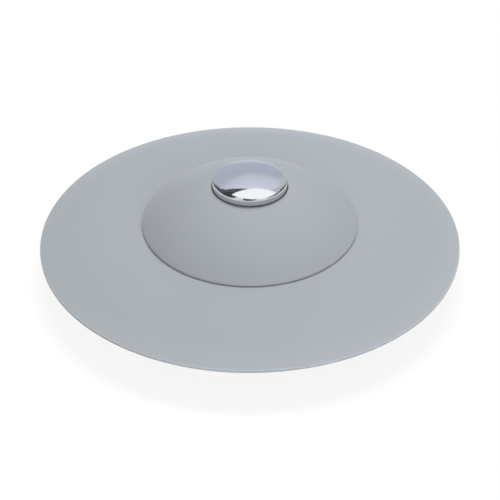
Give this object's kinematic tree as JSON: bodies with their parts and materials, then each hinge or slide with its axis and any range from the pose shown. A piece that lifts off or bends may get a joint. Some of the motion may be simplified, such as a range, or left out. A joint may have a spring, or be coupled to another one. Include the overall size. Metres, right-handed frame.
{
  "type": "drain stopper",
  "caption": "Push-type drain stopper: a soft saucer covers the drain, and a conical cap with a chrome button pops up on a push-push core to let water through a slotted strainer.",
  "frame": {"origin": "on the axis of the stopper, in the plane where the edge of the disc lies on the floor round the drain", "axes": "+Z along the axis, up towards the button; X and Y lie between the spokes of the frame"},
  "size_m": [0.107, 0.107, 0.0271],
  "materials": {
    "grey_rubber": "matte light grey thermoplastic rubber with a fine moulded texture",
    "grey_plastic": "satin light grey moulded plastic",
    "core_plastic": "smooth off-white acetal",
    "seal_rubber": "black rubber",
    "spring_steel": "bright drawn stainless steel",
    "stud_brass": "turned brass",
    "chrome": "polished chrome plating"
  },
  "bodies": {
    "frame": {"sealing_disc": "grey_rubber", "drain_frame": "grey_plastic", "cam_barrel": "core_plastic", "core_washer": "seal_rubber", "barrel_plug": "core_plastic", "core_spring": "spring_steel"},
    "cap": {"cone_cover": "grey_rubber", "cap_carrier": "grey_plastic", "strainer_cage": "grey_plastic", "button_seal": "seal_rubber"},
    "button": {"push_button": "chrome", "button_insert": "core_plastic", "button_stud": "stud_brass", "plunger_stem": "core_plastic", "rotor_clip": "spring_steel"},
    "rotor": {"latch_rotor": "core_plastic"}
  },
  "joints": [
    {"name": "cap_lift", "type": "slide", "parent": "frame", "child": "cap", "axis": [0, 0, 1], "range_m": [0, 0.007], "deforming": ["core_spring"]},
    {"name": "button_press", "type": "slide", "parent": "cap", "child": "button", "axis": [0, 0, -1], "range_m": [0, 0.002], "stiffness_N_per_m": 300, "springref_m": -0.004},
    {"name": "rotor_turn", "type": "hinge", "parent": "button", "child": "rotor", "pos_m": [0, 0, -0.002], "axis": [0, 0, 1], "continuous": true}
  ]
}
